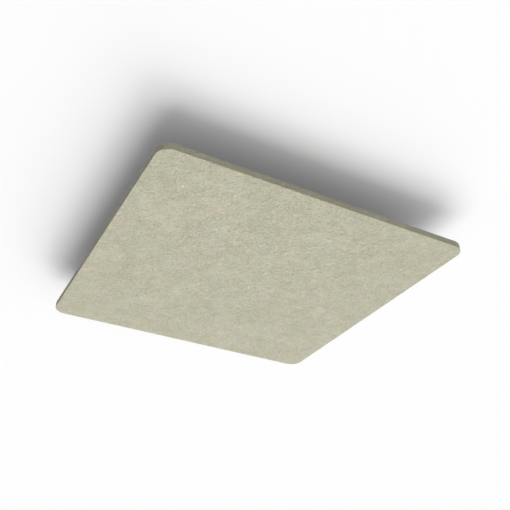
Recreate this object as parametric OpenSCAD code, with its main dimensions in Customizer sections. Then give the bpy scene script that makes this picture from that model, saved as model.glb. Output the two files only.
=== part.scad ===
// Square ceiling panel, cut from one thick felt board, with four threaded inserts in its back.
// The origin is the centre of the back face. +Z points up to the ceiling, and the visible face
// looks down. All sizes are in millimetres.

/* [Board] */
// Length of each side of the square board
side = 1200; // [800:10:1500]
// Thickness of the felt
thickness = 24; // [20:1:50]
// Radius of the four corners, seen in plan
corner_r = 50; // [20:1:150]
// Rounding of the arrises, all the way round both faces
arris_r = 1.5; // [0.5:0.1:5]

/* [Fixing points] */
// Distance between neighbouring inserts, along both sides of the board
insert_pitch = 600; // [200:10:1000]
// Radial room between an insert and the felt that grips it
seat_clearance = 0.15; // [0.05:0.05:0.3]

/* [Insert flange] */
// Diameter of the flange, which lies flush with the back face
flange_d = 30; // [22:0.5:40]
// Thickness of the flange
flange_t = 2; // [1:0.1:4]
// Chamfer round the rim of the flange
rim_chamfer = 0.5; // [0.2:0.1:0.8]

/* [Insert thread] */
// Core diameter of the M6 thread
core_d = 5; // [4:0.1:6.8]
// Chamfer that leads the screw into the thread
lead_in = 0.8; // [0.3:0.1:1.5]
// Depth of the thread from the back face
thread_depth = 14; // [8:0.5:18]
// Metal left below the point of the tapping drill
end_wall = 1.5; // [1:0.1:3]

/* [Insert barbs] */
// Diameter of the barrel between the barbs
barrel_d = 11; // [10:0.5:12]
// Diameter over the barbs
barb_d = 14; // [13:0.5:17]
// Length of each barb along the barrel
barb_length = 3; // [2:0.25:5]
// Shortest plain neck between the flange and the barbs
neck = 1.5; // [1:0.1:4]

/* [Insert fins] */
// Number of fins that keep the insert from turning in the felt
fin_count = 4; // [2:1:6]
// Thickness of each fin
fin_t = 1.6; // [0.8:0.1:2.5]
// Depth of each fin below the flange
fin_depth = 6; // [2:0.5:8]
// Distance that the fins stop short of the rim
fin_inset = 2; // [1:0.5:3]

/* [Hidden] */
$fn = 96;

felt_colour = [0.745, 0.733, 0.651];
zinc_colour = [0.78, 0.79, 0.80];

// The drill's point slopes by 31 degrees, and its web leaves a small flat at the end
drill_slope = 31;
web_d = 1;
drill_point = (core_d - web_d) / 2 * tan(drill_slope);
insert_length = thread_depth + drill_point + end_wall;

// The barbs fill the barrel from its closed end up, as far as the neck allows
barb_count = floor((insert_length - flange_t - neck) / barb_length);

// The first fin points to a corner of the board
first_fin = 45;

// How far a cutter runs past the face that it opens
past_face = 1;

// Cross-section of the board with round arrises. Its top edge is the back face.
module rounded_section(width) {
    translate([0, -thickness / 2]) {
        square([width, thickness - 2 * arris_r], center = true);
        square([width - 2 * arris_r, thickness], center = true);
        for (x = [-1, 1], y = [-1, 1])
            translate([x * (width / 2 - arris_r), y * (thickness / 2 - arris_r)])
                circle(r = arris_r);
    }
}

// A full-width strip of the board, which stops where the round corners start
module straight_strip() {
    rotate([90, 0, 0])
        linear_extrude(height = side - 2 * corner_r, center = true)
            rounded_section(side);
}

// One quarter-round corner, turned from half of the same cross-section
module round_corner() {
    translate([side / 2 - corner_r, side / 2 - corner_r, 0])
        rotate_extrude(angle = 90)
            intersection() {
                rounded_section(2 * corner_r);
                translate([0, -thickness])
                    square([corner_r, thickness]);
            }
}

module board_blank() {
    straight_strip();
    rotate([0, 0, 90])
        straight_strip();
    for (turn = [0:90:270])
        rotate([0, 0, turn])
            round_corner();
}

// Half-outline of the flange and the barbed barrel. grow widens it for the pocket in the felt,
// which has no chamfer at its mouth.
module insert_outline(grow = 0) {
    flange_r = flange_d / 2 + grow;
    barrel_r = barrel_d / 2 + grow;
    barb_r = barb_d / 2 + grow;
    bottom = -insert_length - grow;
    rim = grow > 0 ? [[flange_r, 0]] : [[flange_r - rim_chamfer, 0], [flange_r, -rim_chamfer]];
    polygon(concat(
        [[0, 0]],
        rim,
        [[flange_r, -flange_t], [barrel_r, -flange_t]],
        [for (i = [barb_count:-1:1], r = [barrel_r, barb_r]) [r, i * barb_length - insert_length]],
        [[barrel_r, bottom], [0, bottom]]
    ));
}

// Fins under the flange, each a thin wedge that runs out inside the barrel's wall
module fins(grow = 0) {
    reach = flange_d / 2 - fin_inset + grow;
    root = (barrel_d - fin_t) / 2;
    for (i = [0:fin_count - 1])
        rotate([90, 0, first_fin + i * 360 / fin_count])
            linear_extrude(height = fin_t + 2 * grow, center = true)
                polygon([
                    [0, -flange_t],
                    [reach, -flange_t],
                    [root, -flange_t - fin_depth - grow],
                    [0, -flange_t - fin_depth - grow]
                ]);
}

// Tapped hole: lead-in chamfer, core bore and the point that the drill leaves
module tapped_hole() {
    core_r = core_d / 2;
    rotate_extrude()
        polygon([
            [0, past_face],
            [core_r + lead_in, past_face],
            [core_r + lead_in, 0],
            [core_r, -lead_in],
            [core_r, -thread_depth],
            [web_d / 2, -thread_depth - drill_point],
            [0, -thread_depth - drill_point]
        ]);
}

module insert() {
    difference() {
        union() {
            rotate_extrude()
                insert_outline();
            fins();
        }
        tapped_hole();
    }
}

// Room for one insert in the felt, open at the back face
module insert_pocket() {
    rotate_extrude()
        insert_outline(grow = seat_clearance);
    cylinder(d = flange_d + 2 * seat_clearance, h = past_face);
    fins(grow = seat_clearance);
}

// x and y are -1 or 1, for the left or right and the front or rear pair
module at_fixing_point(x, y) {
    translate([x * insert_pitch / 2, y * insert_pitch / 2, 0])
        children();
}

module felt_board() {
    color(felt_colour)
        difference() {
            board_blank();
            for (x = [-1, 1], y = [-1, 1])
                at_fixing_point(x, y)
                    insert_pocket();
        }
}

module seated_insert(x, y) {
    color(zinc_colour)
        at_fixing_point(x, y)
            insert();
}

felt_board();
seated_insert(-1, -1);  // insert_front_left
seated_insert(1, -1);  // insert_front_right
seated_insert(-1, 1);  // insert_rear_left
seated_insert(1, 1);  // insert_rear_right
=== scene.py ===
import math
import bmesh
import bpy
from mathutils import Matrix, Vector, noise


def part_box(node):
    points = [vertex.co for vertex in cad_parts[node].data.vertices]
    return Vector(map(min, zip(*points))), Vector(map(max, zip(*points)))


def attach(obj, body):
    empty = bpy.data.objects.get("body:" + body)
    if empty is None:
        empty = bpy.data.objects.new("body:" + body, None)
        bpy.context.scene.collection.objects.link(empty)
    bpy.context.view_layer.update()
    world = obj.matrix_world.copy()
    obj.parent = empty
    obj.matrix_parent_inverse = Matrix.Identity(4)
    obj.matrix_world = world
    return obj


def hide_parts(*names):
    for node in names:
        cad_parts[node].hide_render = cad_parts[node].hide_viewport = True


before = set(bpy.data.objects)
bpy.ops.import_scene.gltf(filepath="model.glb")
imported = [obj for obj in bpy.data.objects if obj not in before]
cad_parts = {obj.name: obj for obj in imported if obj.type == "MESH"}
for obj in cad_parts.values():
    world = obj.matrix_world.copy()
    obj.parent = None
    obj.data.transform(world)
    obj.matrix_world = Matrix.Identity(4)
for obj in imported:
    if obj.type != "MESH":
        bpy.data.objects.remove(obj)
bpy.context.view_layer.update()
boardLow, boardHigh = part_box("felt_board")
print("frame loaded:", ", ".join(sorted(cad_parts)))


# A node socket that takes part in arithmetic, and a sheet of nodes that makes them

noiseMiddle = 0.5                               # the level that a noise varies about


class Wire:
    def __init__(self, sheet, socket):
        self.sheet = sheet
        self.socket = socket

    def named(self, output):                    # another output of the same node
        return Wire(self.sheet, self.socket.node.outputs[output])

    def combine(self, operation, first, second):
        kinds = [term.socket.type for term in (first, second) if isinstance(term, Wire)]
        vectors = "VECTOR" in kinds or "RGBA" in kinds
        node = "ShaderNodeVectorMath" if vectors else "ShaderNodeMath"
        return self.sheet.add(node, {"operation": operation}, {0: first, 1: second})

    def __add__(self, other):
        return self.combine("ADD", self, other)

    def __radd__(self, other):
        return self.combine("ADD", other, self)

    def __sub__(self, other):
        return self.combine("SUBTRACT", self, other)

    def __rsub__(self, other):
        return self.combine("SUBTRACT", other, self)

    def __mul__(self, other):
        return self.combine("MULTIPLY", self, other)

    def __rmul__(self, other):
        return self.combine("MULTIPLY", other, self)


class Sheet:
    columnWidth = 190                           # how the nodes lie in the editor
    rowHeight = 260
    rowLength = 30

    def __init__(self, tree):
        self.tree = tree
        tree.nodes.clear()

    def add(self, kind, settings=None, inputs=None):
        node = self.tree.nodes.new(kind)
        row, column = divmod(len(self.tree.nodes), self.rowLength)
        node.location = (self.columnWidth * column, -self.rowHeight * row)
        for name, value in (settings or {}).items():
            if name == "stops":
                self.setStops(node.color_ramp, value)
            else:
                setattr(node, name, value)
        for name, value in (inputs or {}).items():
            socket = self.find(node.inputs, name)
            if isinstance(value, Wire):
                self.tree.links.new(value.socket, socket)
            elif socket.type in ("VECTOR", "RGBA") and not hasattr(value, "__len__"):
                socket.default_value = [value] * len(socket.default_value)
            else:
                socket.default_value = value
        results = [socket for socket in node.outputs if socket.enabled]
        return Wire(self, results[0]) if results else None

    def find(self, sockets, name):              # by place, or the first one in use with that name
        if isinstance(name, int):
            return sockets[name]
        return next(socket for socket in sockets if socket.name == name and socket.enabled)

    def setStops(self, ramp, stops):
        while len(ramp.elements) < len(stops):
            ramp.elements.new(1.0)
        for element, (position, shade) in zip(ramp.elements, stops):
            element.position = position
            element.color = shade

    def blend(self, factor, first, second, mode="MIX"):
        settings = {"data_type": "RGBA", "blend_type": mode}
        return self.add("ShaderNodeMix", settings, {"Factor": factor, "A": first, "B": second})

    def step(self, value, low, high):           # 0 below low and 1 above high
        inputs = {"Value": value, "From Min": low, "From Max": high}
        return self.add("ShaderNodeMapRange", {"interpolation_type": "SMOOTHSTEP"}, inputs)

    def stretched(self, point, size, turn, shift):
        inputs = {"Vector": point, "Location": shift, "Rotation": (0.0, 0.0, turn), "Scale": size}
        return self.add("ShaderNodeMapping", {"vector_type": "TEXTURE"}, inputs)

    def noise(self, point, size, detail=0.0):
        inputs = {"Vector": point, "Scale": 1.0 / size, "Detail": detail}
        return self.add("ShaderNodeTexNoise", {"noise_dimensions": "3D"}, inputs)

    def pushed(self, point, size, detail, push):            # the point, moved about by a noise
        return point + (self.noise(point, size, detail).named("Color") - noiseMiddle) * push


def linear(share):                              # the light behind a picture's level from 0 to 1
    if share <= 0.04045:
        return share / 12.92
    return ((share + 0.055) / 1.055) ** 2.4


def shown(red, green, blue):                    # a colour by the 0 to 255 values that a picture shows
    return (*[linear(value / 255) for value in (red, green, blue)], 1.0)


def newMaterial(name):
    material = bpy.data.materials.new(name)
    material.use_nodes = True
    return material, Sheet(material.node_tree)


def place(name, data, spot=(0.0, 0.0, 0.0)):
    thing = bpy.data.objects.new(name, data)
    thing.location = spot
    bpy.context.scene.collection.objects.link(thing)
    bpy.context.view_layer.update()
    return thing


# The camera looks up at the panel from below its front left corner

cameraSettings = {
    "spot": (-1.1186, -2.1326, -1.421),
    "heading": (0.47966, 0.87746),
    "pitch": 32.37,
    "lens": 49.77,
    "sensor": 36.0,
    "farClip": 200.0,
}


def makeCamera():
    data = bpy.data.cameras.new("camera")
    data.lens = cameraSettings["lens"]
    data.sensor_width = cameraSettings["sensor"]
    data.clip_end = cameraSettings["farClip"]
    camera = place("camera", data, cameraSettings["spot"])
    pitch = math.radians(cameraSettings["pitch"])
    across = Vector(cameraSettings["heading"]).normalized() * math.cos(pitch)
    ahead = Vector((across.x, across.y, math.sin(pitch)))
    camera.rotation_euler = ahead.to_track_quat("-Z", "Y").to_euler()
    bpy.context.scene.camera = camera


makeCamera()
bpy.context.scene.view_settings.view_transform = "Standard"
print("camera ready")


# The room: a white ceiling over the panel, a pale floor far below, soft light from below and above

roomSettings = {
    "ceilingGap": 0.121,                        # from the back face up to the ceiling
    "ceilingReach": 30.0,
    "ceilingWhite": 0.90,
    "ceilingGlow": 0.126,
    "ceilingBounce": 0.36,
    "floorDepth": 2.6,
    "floorReach": 60.0,
    "floorWhite": 0.85,
    "floorGlow": 0.30,
    "skyLevel": 0.180,
    "lamps": (                                  # name, power, angle and where it shines from
        ("lowLamp", 1.440, 56.0, (0.271, 0.496, -1.0)),
        ("rightLamp", 0.867, 92.8, (1.060, -0.490, -1.0)),
        ("farLamp", 1.419, 39.1, (1.330, 1.499, -1.0)),
        ("sideLamp", 0.52, 20.0, (-0.460, -0.890, 0.27)),
        ("topLamp", 2.90, 24.0, (0.38, 0.46, 1.0)),
    ),
    "lampDistance": 2.0,                        # where they stand, which changes no light
    "mattLamp": "topLamp",                      # it would glare on the metal of the back
    "shadeGap": 0.003,                          # above the back face, and inside its edges
}


def flatSheet(name, reach, height, faceDown=False):
    mesh = bpy.data.meshes.new(name)
    corners = [(-reach, -reach, 0.0), (reach, -reach, 0.0), (reach, reach, 0.0), (-reach, reach, 0.0)]
    order = (3, 2, 1, 0) if faceDown else (0, 1, 2, 3)
    mesh.from_pydata(corners, [], [order])
    sheet = place(name, mesh, (0.0, 0.0, height))
    return sheet


def stageMaterial(name, white, glow=0.0, bounce=0.0, oneSided=False):
    material, nodes = newMaterial(name)
    seen = nodes.add("ShaderNodeLightPath").named("Is Camera Ray")
    level = seen * (white - bounce) + bounce    # the room sends less light back than the camera sees
    paint = nodes.add("ShaderNodeCombineColor", None, {"Red": level, "Green": level, "Blue": level})
    body = nodes.add("ShaderNodeBsdfDiffuse", None, {"Color": paint})
    if glow > 0:
        light = nodes.add("ShaderNodeEmission", None, {"Strength": seen * glow})
        body = nodes.add("ShaderNodeAddShader", None, {0: body, 1: light})
    if oneSided:
        behind = nodes.add("ShaderNodeNewGeometry").named("Backfacing")
        clear = nodes.add("ShaderNodeBsdfTransparent")
        body = nodes.add("ShaderNodeMixShader", None, {0: behind, 1: body, 2: clear})
    nodes.add("ShaderNodeOutputMaterial", None, {"Surface": body})
    return material


def hideFrom(thing, *rays):
    for ray in rays:
        setattr(thing, "visible_" + ray, False)


def makeRoom():
    settings = roomSettings
    ceiling = flatSheet("ceiling", settings["ceilingReach"], boardHigh.z + settings["ceilingGap"], True)
    paint = stageMaterial(
        "ceilingWhite", settings["ceilingWhite"], settings["ceilingGlow"], settings["ceilingBounce"], True)
    ceiling.data.materials.append(paint)
    hideFrom(ceiling, "shadow", "glossy")
    floor = flatSheet("floor", settings["floorReach"], boardHigh.z - settings["floorDepth"])
    floor.data.materials.append(stageMaterial("floorPale", settings["floorWhite"], settings["floorGlow"]))
    hideFrom(floor, "shadow", "diffuse", "glossy")
    # A black card that only the ceiling sees, so that the light on the back face stays off it
    reach = boardHigh.x - settings["shadeGap"]
    shade = flatSheet("shade", reach, boardHigh.z + settings["shadeGap"])
    shade.data.materials.append(stageMaterial("shadeBlack", 0.0, oneSided=True))
    hideFrom(shade, "camera", "glossy", "transmission", "shadow")


def makeLamp(name, power, angle, source):
    data = bpy.data.lights.new(name, "SUN")
    data.energy = power
    data.angle = math.radians(angle)
    lamp = place(name, data, Vector(source) * roomSettings["lampDistance"])
    lamp.rotation_euler = (-Vector(source)).to_track_quat("-Z", "Y").to_euler()
    if name == roomSettings["mattLamp"]:
        hideFrom(lamp, "glossy")


def makeSky():
    world = bpy.data.worlds.new("sky")
    world.use_nodes = True
    bpy.context.scene.world = world
    nodes = Sheet(world.node_tree)
    ray = nodes.add("ShaderNodeLightPath")
    seen = ray.named("Is Camera Ray") + ray.named("Is Glossy Ray") + ray.named("Is Transmission Ray")
    level = roomSettings["skyLevel"]
    inputs = {"Color": (1.0, 1.0, 1.0, 1.0), "Strength": seen * (1.0 - level) + level}
    white = nodes.add("ShaderNodeBackground", None, inputs)
    nodes.add("ShaderNodeOutputWorld", None, {"Surface": white})


makeRoom()
for lamp in roomSettings["lamps"]:
    makeLamp(*lamp)
makeSky()
print("room and lamps ready")


# Mesh helpers

def solidMesh(name, verts, faces):
    mesh = bpy.data.meshes.new(name)
    mesh.from_pydata(verts, [], faces)
    form = bmesh.new()
    form.from_mesh(mesh)
    bmesh.ops.recalc_face_normals(form, faces=form.faces)
    form.to_mesh(mesh)
    form.free()
    return mesh


def joined(name, first, second, operation):     # a Boolean of two meshes, as a new mesh
    body = place(name, first)
    tool = place(name + "Tool", second)
    modifier = body.modifiers.new("cut", "BOOLEAN")
    modifier.operation = operation
    modifier.solver = "EXACT"
    modifier.object = tool
    bpy.context.view_layer.update()
    shaped = body.evaluated_get(bpy.context.evaluated_depsgraph_get())
    mesh = bpy.data.meshes.new_from_object(shaped)
    mesh.name = name
    for thing in (body, tool):
        bpy.data.objects.remove(thing)
    return mesh


def smoothed(mesh, angle):
    mesh.shade_smooth()
    mesh.set_sharp_from_angle(angle=math.radians(angle))
    return mesh


# The insert: a flanged and barbed bush with a tapped hole. Grown a little, its form cuts the felt's pocket

insertSizes = {
    "flangeThickness": 0.002,
    "rimChamfer": 0.0005,
    "barrel": 0.011,
    "barb": 0.014,
    "barbLength": 0.003,
    "neck": 0.0015,
    "finCount": 4,
    "finThickness": 0.0016,
    "finDepth": 0.006,
    "finInset": 0.002,
    "firstFin": 45.0,                           # it points to a corner of the board
    "core": 0.005,
    "thread": 0.006,
    "pitch": 0.001,
    "threadFlats": (0.25, 0.125),               # at the core and at the full diameter, in pitches
    "leadIn": 0.0008,
    "threadDepth": 0.014,
    "runOut": 0.002,                            # over which the thread fades at the bottom
    "drillSlope": 31.0,
    "web": 0.001,
    "seat": 0.00015,
    "softLip": 0.0005,
    "lipTurns": (0, 30, 60, 90),
    "cutterTop": 0.001,                         # radius at which the cutter's top is closed
    "segments": 64,
    "rowsPerPitch": 8,
    "smoothAngle": 25.0,
}
insertNodes = sorted(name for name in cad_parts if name.startswith("insert"))
insertLow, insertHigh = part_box(insertNodes[0])
flangeRadius = (insertHigh.x - insertLow.x) / 2
insertLength = insertHigh.z - insertLow.z


def insertOutside(grow=0.0):                    # radius and height, from the rim down to the closed end
    sizes = insertSizes
    flange = flangeRadius + grow
    barrel = sizes["barrel"] / 2 + grow
    barb = sizes["barb"] / 2 + grow
    outline = [(flange, -sizes["flangeThickness"]), (barrel, -sizes["flangeThickness"])]
    room = insertLength - sizes["flangeThickness"] - sizes["neck"]
    for index in range(int(room / sizes["barbLength"]), 0, -1):
        height = index * sizes["barbLength"] - insertLength
        outline += [(barrel, height), (barb, height)]
    return outline + [(barrel, -insertLength - grow)]


def threadRadius(radius, height, angle):
    sizes = insertSizes
    if radius > sizes["thread"] / 2 or height > 0 or height < -sizes["threadDepth"]:
        return radius
    turn = (height / sizes["pitch"] - angle / math.tau) % 1.0
    coreFlat, fullFlat = sizes["threadFlats"]
    groove = min(max((abs(2.0 * turn - 1.0) - coreFlat) / (1.0 - coreFlat - fullFlat), 0.0), 1.0)
    fade = min((height + sizes["threadDepth"]) / sizes["runOut"], 1.0)
    return max(radius, sizes["core"] / 2 + (sizes["thread"] - sizes["core"]) / 2 * groove * fade)


def tappedHole():                               # radius and height, from the drill's point up to the mouth
    sizes = insertSizes
    core = sizes["core"] / 2
    point = (core - sizes["web"] / 2) * math.tan(math.radians(sizes["drillSlope"]))
    rows = round(sizes["threadDepth"] / sizes["pitch"] * sizes["rowsPerPitch"])
    heights = [-sizes["threadDepth"] * (1 - row / rows) for row in range(rows + 1)]
    wall = [(core + max(height + sizes["leadIn"], 0.0), height) for height in heights]
    return [(sizes["web"] / 2, -sizes["threadDepth"] - point)] + wall


def revolved(name, outline, radiusAt=None):     # both ends are closed across the axis
    count = insertSizes["segments"]
    verts = []
    for radius, height in outline:
        for index in range(count):
            angle = math.tau * index / count
            reach = radiusAt(radius, height, angle) if radiusAt else radius
            verts.append((reach * math.cos(angle), reach * math.sin(angle), height))
    faces = [tuple(range(count)), tuple(range(len(verts) - count, len(verts)))]
    for row in range(0, len(verts) - count, count):
        for index in range(count):
            beside = (index + 1) % count
            faces.append((row + index, row + beside, row + count + beside, row + count + index))
    return solidMesh(name, verts, faces)


def finBlades(grow=0.0):
    sizes = insertSizes
    thick = sizes["finThickness"] / 2 + grow
    top = -sizes["flangeThickness"] / 2         # inside the flange, which swallows this edge
    under = -sizes["flangeThickness"]
    reach = flangeRadius - sizes["finInset"] + grow
    wall = (sizes["barrel"] + sizes["core"]) / 4            # halfway into the barrel's wall
    root = (sizes["barrel"] - sizes["finThickness"]) / 2
    low = under - sizes["finDepth"] - grow
    blade = [(wall, top), (reach, top), (reach, under), (root, low), (wall, low)]
    verts, faces = [], []
    for index in range(sizes["finCount"]):
        turn = math.radians(sizes["firstFin"]) + math.tau * index / sizes["finCount"]
        along = Vector((math.cos(turn), math.sin(turn), 0.0))
        across = Vector((-math.sin(turn), math.cos(turn), 0.0))
        first = len(verts)
        for side in (-thick, thick):
            for radius, height in blade:
                verts.append(along * radius + across * side + Vector((0.0, 0.0, height)))
        count = len(blade)
        faces += [tuple(range(first, first + count)), tuple(range(first + count, first + 2 * count))]
        for corner in range(count):
            beside = (corner + 1) % count
            faces.append((first + corner, first + beside, first + count + beside, first + count + corner))
    return solidMesh("finBlades", verts, faces)


def insertMesh():
    chamfer = insertSizes["rimChamfer"]
    rim = [(flangeRadius - chamfer, 0.0), (flangeRadius, -chamfer)]
    bush = revolved("insertBush", tappedHole() + rim + insertOutside(), threadRadius)
    return smoothed(joined("threadedInsert", bush, finBlades(), "UNION"), insertSizes["smoothAngle"])


def pocketMesh():                               # the felt's edge rolls softly into the pocket
    seat, lip = insertSizes["seat"], insertSizes["softLip"]
    mouth = flangeRadius + seat
    turns = [math.radians(angle) for angle in insertSizes["lipTurns"]]
    roll = [(mouth + lip * (1 - math.sin(turn)), lip * (math.cos(turn) - 1)) for turn in turns]
    outline = [(insertSizes["cutterTop"], lip), (mouth + lip, lip)] + roll + insertOutside(seat)
    return joined("pocket", revolved("pocketBush", outline), finBlades(seat), "UNION")


def insertSpot(name):
    low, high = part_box(name)
    return Vector(((low.x + high.x) / 2, (low.y + high.y) / 2, high.z))


# The board: a square of thick felt with round corners and softened arrises

boardSizes = {
    "cornerRadius": 0.050,
    "arrisRadius": 0.0015,
    "cell": 0.006,
    "hold": 0.0012,                             # narrow cells beside the arris keep it crisp
    "arrisSteps": 3,
    "sideCells": 3,
    "swells": ((0.00010, 0.017), (0.00018, 0.080)),     # height and width
    "quiet": (0.020, 0.045),                    # the swells fade between these distances of an insert
    "smoothAngle": 40.0,
}
straightReach = boardHigh.x - boardSizes["cornerRadius"]
flatReach = boardHigh.x - boardSizes["arrisRadius"]


def faceLines():
    sizes = boardSizes
    middleCount = round(2 * straightReach / sizes["cell"])
    edgeCount = round((flatReach - straightReach) / sizes["cell"])
    edgeCell = (flatReach - sizes["hold"] - straightReach) / edgeCount
    middle = [straightReach * (2 * index / middleCount - 1) for index in range(middleCount + 1)]
    edge = [straightReach + edgeCell * (index + 1) for index in range(edgeCount)] + [flatReach]
    return [-value for value in reversed(edge)] + middle + edge


def facePoint(x, y):                            # squares in the corner bend into the round corner
    overX, overY = abs(x) - straightReach, abs(y) - straightReach
    if overX <= 0 or overY <= 0:
        return x, y
    reach = max(overX, overY)
    turn = math.pi / 4 * min(overX, overY) / reach
    if overY > overX:
        turn = math.pi / 2 - turn
    return (math.copysign(straightReach + reach * math.cos(turn), x),
            math.copysign(straightReach + reach * math.sin(turn), y))


def outward(x, y):
    over = [math.copysign(max(abs(value) - straightReach, 0.0), value) for value in (x, y)]
    return Vector(over).normalized()


def edgeSection():                              # how far out and how high each ring lies, going up
    sizes = boardSizes
    radius, hold = sizes["arrisRadius"], sizes["hold"]
    steps = range(1, sizes["arrisSteps"] + 1)
    turns = [math.pi / 2 * step / sizes["arrisSteps"] for step in steps]
    arris = [(radius * math.sin(turn), radius * (1 - math.cos(turn))) for turn in turns]
    thick = boardHigh.z - boardLow.z
    rise = (thick - 2 * radius - 2 * hold) / sizes["sideCells"]
    side = [(radius, radius + hold + rise * index) for index in range(sizes["sideCells"] + 1)]
    upper = [(out, thick - up) for out, up in reversed(arris)]
    return [(out, boardLow.z + up) for out, up in arris + side + upper]


def borderRing(count):                          # the points round the edge of a square grid, in order
    last = count - 1
    border = list(range(last))
    border += [row * count + last for row in range(last)]
    border += [last * count + column for column in range(last, 0, -1)]
    border += [row * count for row in range(last, 0, -1)]
    return border


def boardBlank():
    lines = faceLines()
    count = len(lines)
    verts, faces = [], []
    for height in (boardLow.z, boardHigh.z):
        for y in lines:
            verts += [(*facePoint(x, y), height) for x in lines]
    for layer in (0, count * count):
        for row in range(count - 1):
            for column in range(count - 1):
                corner = layer + row * count + column
                faces.append((corner, corner + 1, corner + count + 1, corner + count))
    border = borderRing(count)
    rings = [border]
    for out, height in edgeSection():
        rings.append(range(len(verts), len(verts) + len(border)))
        for index in border:
            x, y = verts[index][:2]
            away = outward(x, y) * out
            verts.append((x + away.x, y + away.y, height))
    rings.append([index + count * count for index in border])
    for low, high in zip(rings, rings[1:]):
        for index in range(len(border)):
            beside = (index + 1) % len(border)
            faces.append((low[index], low[beside], high[beside], high[index]))
    return solidMesh("boardBlank", verts, faces)


def swell(mesh):                                # felt is never quite flat
    spots = [insertSpot(name) for name in insertNodes]
    near, far = boardSizes["quiet"]
    normals = [Vector(normal.vector) for normal in mesh.vertex_normals]
    for vert, normal in zip(mesh.vertices, normals):
        lift = sum(height * noise.noise(vert.co / width) for height, width in boardSizes["swells"])
        if vert.co.z > boardLow.z + boardSizes["arrisRadius"]:
            gap = min((vert.co - spot).xy.length for spot in spots)
            lift *= min(max((gap - near) / (far - near), 0.0), 1.0)
        vert.co += normal * lift


def boardMesh():
    pockets = bmesh.new()
    tool = pocketMesh()
    for name in insertNodes:
        first = len(pockets.verts)
        pockets.from_mesh(tool)
        pockets.verts.ensure_lookup_table()
        bmesh.ops.translate(pockets, verts=pockets.verts[first:], vec=insertSpot(name))
    cutter = bpy.data.meshes.new("pockets")
    pockets.to_mesh(cutter)
    pockets.free()
    mesh = joined("feltBoard", boardBlank(), cutter, "DIFFERENCE")
    swell(mesh)
    return smoothed(mesh, boardSizes["smoothAngle"])


# Felt: curled and bent fibres that lie in the plane of the board, over a softly heathered ground; the dark
# fibres' colour also paints the shade between fibres

feltSettings = {
    "ground": shown(196, 193, 166),
    "pale": shown(225, 222, 203),
    # the dark fibres' colour, darkened and warmed so that it also paints the shade between fibres
    "dark": shown(136, 130, 95),
    "patches": (                                # width, and how the two kinds tint the ground
        (0.060, (1.026, 0.999, 1.009, 1.0), (0.962, 1.024, 1.009, 1.0)),
        (0.090, (0.997, 1.001, 0.969, 1.0), (0.999, 0.999, 1.035, 1.0)),
    ),
    "patchDetail": 2.0,
    "patchEdge": (0.01, 0.12),                  # how far from the middle level a patch begins and is full
    "clouds": ((0.120, 0.20), (0.052, 0.31), (0.026, 0.20)),    # width, and how far they shade
    "cloudCast": (0.99, 1.00, 1.28),            # the shade takes more of the blue
    "bunches": (0.080, 1.0),                    # width and detail of where fewer or more fibres show
    "bunchCut": (0.32, 0.68),
    "bunchRange": (0.75, 1.25),
    "bend": (0.036, 5.0, 0.032),                # width, detail and push of the fibres' bends
    "rag": (0.0035, 3.0, 0.005),                # the same for their ragged edges
    "curls": (                                  # count, size and line and mask width, share, dye
        (3, (0.044, 0.020, 0.040), 0.17, "pale"),
        (2, (0.036, 0.020, 0.034), 0.12, "dark"),
    ),
    "curlDetail": 0.6,
    "curlCut": (0.50, 0.62),                    # between these levels of its mask a curl comes up
    "strands": (                                # count, length and width and depth, cut, share, dye
        (4, (0.046, 0.0070, 0.0040), (0.58, 0.70), 0.17, "pale"),
        (4, (0.030, 0.0056, 0.0034), (0.62, 0.72), 0.46, "pale"),
        (4, (0.020, 0.0060, 0.0034), (0.60, 0.72), 0.15, "dark"),
        (3, (0.013, 0.0012, 0.0012), (0.55, 0.65), 0.17, "pale"),
        (2, (0.010, 0.0011, 0.0012), (0.56, 0.66), 0.15, "dark"),
        (3, (0.016, 0.0006, 0.0006), (0.52, 0.60), 0.07, "pale"),
        (3, (0.016, 0.0006, 0.0006), (0.52, 0.60), 0.06, "dark"),
    ),
    "strandDetail": 0.5,
    "strandTurn": 0.618034,                     # from layer to layer, in half turns
    "fullStrand": 0.006,                        # a strand this wide stands as high as a curl
    "thinning": 1.5,                            # the power by which a thinner one stands lower
    "flecks": (                                 # width, cut, share, dye
        (0.0090, (0.70, 0.78), 0.36, "dark"),
        (0.0078, (0.68, 0.74), 0.72, "pale"),
    ),
    "fleckDetail": 1.0,
    "grain": (0.0014, 1.0),                     # width and detail of the nap
    "grainShare": 0.05,
    "bump": 0.00052,
    "roughness": 0.92,
    "specular": 0.25,
    "sheen": 0.28,
    "sheenRoughness": 0.5,
    "patchShift": 5.0,                          # steps through the noise that keep its layers unlike
    "firstCloud": 11.0,
    "cloudShift": 3.0,
    "bunchShift": 17.0,
    "curlShift": 1.7,
    "maskShift": 2.3,
    "strandShift": (0.131, 0.297, 0.173),
    "fleckShift": 7.0,
}


def heathered(nodes, point):
    settings = feltSettings
    inner, outer = settings["patchEdge"]
    tint = settings["ground"]
    for index, (width, first, second) in enumerate(settings["patches"]):
        patches = nodes.noise(point + settings["patchShift"] * index, width, settings["patchDetail"])
        above = nodes.step(patches, noiseMiddle + inner, noiseMiddle + outer)
        below = nodes.step(patches, noiseMiddle - inner, noiseMiddle - outer)
        tint = nodes.blend(above, tint, first, "MULTIPLY")
        tint = nodes.blend(below, tint, second, "MULTIPLY")
    for index, (width, share) in enumerate(settings["clouds"]):
        reach = [share / 2 * part for part in settings["cloudCast"]]
        dim, lit = [[1 + side * part for part in reach] + [1.0] for side in (-1, 1)]
        clouds = nodes.noise(point + (settings["firstCloud"] + settings["cloudShift"] * index), width)
        tint = nodes.blend(1.0, tint, nodes.blend(clouds, dim, lit), "MULTIPLY")
    return tint


def bunched(nodes, point):                      # how strongly the fibres show from place to place
    settings = feltSettings
    least, most = settings["bunchRange"]
    field = nodes.noise(point + settings["bunchShift"], *settings["bunches"])
    return nodes.step(field, *settings["bunchCut"]) * (most - least) + least


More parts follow.
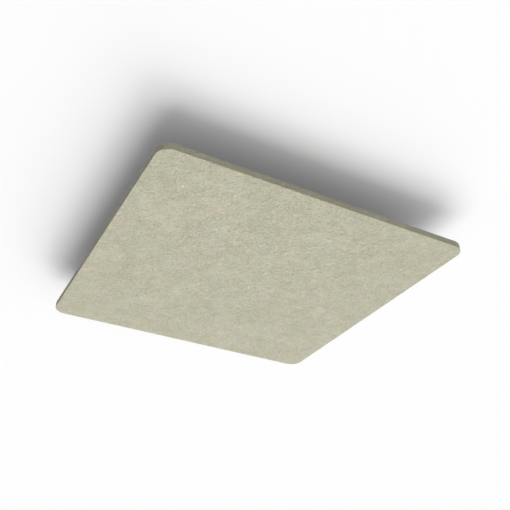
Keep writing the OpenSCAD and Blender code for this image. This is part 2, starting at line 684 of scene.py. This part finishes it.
def curlLayer(nodes, point, ragged, layer, size, line, gap):
    settings = feltSettings
    field = nodes.noise(ragged + settings["curlShift"] * layer, size, settings["curlDetail"])
    beside = nodes.add("ShaderNodeMath", {"operation": "ABSOLUTE"}, {0: field - noiseMiddle})
    mask = nodes.noise(point + settings["maskShift"] * layer, gap)
    return nodes.step(beside, line, 0.0) * nodes.step(mask, *settings["curlCut"])


def strandLayer(nodes, bent, layer, size, cut):
    settings = feltSettings
    turn = math.pi * (layer * settings["strandTurn"] % 1.0)
    shift = [step * layer for step in settings["strandShift"]]
    lie = nodes.stretched(bent, size, turn, shift)
    return nodes.step(nodes.noise(lie, 1.0, settings["strandDetail"]), *cut)


def feltMaterial():
    settings = feltSettings
    material, nodes = newMaterial("feltHeather")
    point = nodes.add("ShaderNodeTexCoord").named("Object")
    bent = nodes.pushed(point, *settings["bend"])
    ragged = nodes.pushed(point, *settings["rag"])
    tint = heathered(nodes, point)
    bunches = bunched(nodes, point)
    height = nodes.noise(point, *settings["grain"]) * settings["grainShare"]

    # Curls, strands and flecks laid on in the dark dye are dark fibres and also painted shade between
    # fibres
    layer = 0
    for count, form, share, dye in settings["curls"]:
        for _ in range(count):
            layer += 1
            curl = curlLayer(nodes, point, ragged, layer, *form)
            tint = nodes.blend(curl * bunches * share, tint, settings[dye])
            height = height + curl
    for count, size, cut, share, dye in settings["strands"]:
        rise = (size[1] / settings["fullStrand"]) ** settings["thinning"]
        for _ in range(count):
            layer += 1
            strand = strandLayer(nodes, bent, layer, size, cut)
            tint = nodes.blend(strand * bunches * share, tint, settings[dye])
            height = height + strand * rise
    for index, (width, cut, share, dye) in enumerate(settings["flecks"], 1):
        flecks = nodes.noise(bent + settings["fleckShift"] * index, width, settings["fleckDetail"])
        tint = nodes.blend(nodes.step(flecks, *cut) * share, tint, settings[dye])

    relief = nodes.add("ShaderNodeBump", None, {"Height": height, "Distance": settings["bump"]})
    inputs = {
        "Base Color": tint,
        "Roughness": settings["roughness"],
        "Specular IOR Level": settings["specular"],
        "Sheen Weight": settings["sheen"],
        "Sheen Roughness": settings["sheenRoughness"],
        "Normal": relief,
    }
    body = nodes.add("ShaderNodeBsdfPrincipled", None, inputs)
    nodes.add("ShaderNodeOutputMaterial", None, {"Surface": body})
    return material


# Zinc plate on turned steel

zincSettings = {
    "bright": shown(203, 206, 210),
    "dull": shown(184, 188, 193),
    "roughness": (0.26, 0.44),
    "ring": (0.00035, 2.0),                     # width and detail of the marks of turning
    "cloud": (0.006, 3.0),                      # the same for the clouds in the plate
    "cloudEdge": (0.35, 0.65),
    "bump": 0.00002,
}


def zincMaterial():
    settings = zincSettings
    material, nodes = newMaterial("zincPlate")
    point = nodes.add("ShaderNodeTexCoord").named("Object")
    radius = nodes.add("ShaderNodeVectorMath", {"operation": "LENGTH"}, {0: point * (1.0, 1.0, 0.0)})
    height = nodes.add("ShaderNodeSeparateXYZ", None, {"Vector": point}).named("Z")
    around = nodes.add("ShaderNodeCombineXYZ", None, {"X": radius, "Z": height})
    rings = nodes.noise(around, *settings["ring"])
    clouds = nodes.noise(point, *settings["cloud"])
    tint = nodes.blend(nodes.step(clouds, *settings["cloudEdge"]), settings["dull"], settings["bright"])
    smoothest, roughest = settings["roughness"]
    relief = nodes.add("ShaderNodeBump", None, {"Height": rings, "Distance": settings["bump"]})
    inputs = {
        "Base Color": tint,
        "Metallic": 1.0,
        "Roughness": clouds * (roughest - smoothest) + smoothest,
        "Normal": relief,
    }
    body = nodes.add("ShaderNodeBsdfPrincipled", None, inputs)
    nodes.add("ShaderNodeOutputMaterial", None, {"Surface": body})
    return material


def makeBoard():
    mesh = boardMesh()
    mesh.materials.clear()
    mesh.materials.append(feltMaterial())
    board = place("feltBoard", mesh)
    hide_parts("felt_board")
    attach(board, "root")
    print("board:", len(mesh.polygons), "faces")


def makeInserts():
    mesh = insertMesh()
    mesh.materials.clear()
    mesh.materials.append(zincMaterial())
    for name in insertNodes:
        insert = place("threaded_" + name, mesh, insertSpot(name))
        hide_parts(name)
        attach(insert, "root")
    print("inserts:", len(insertNodes), "of", len(mesh.polygons), "faces")


makeBoard()
makeInserts()
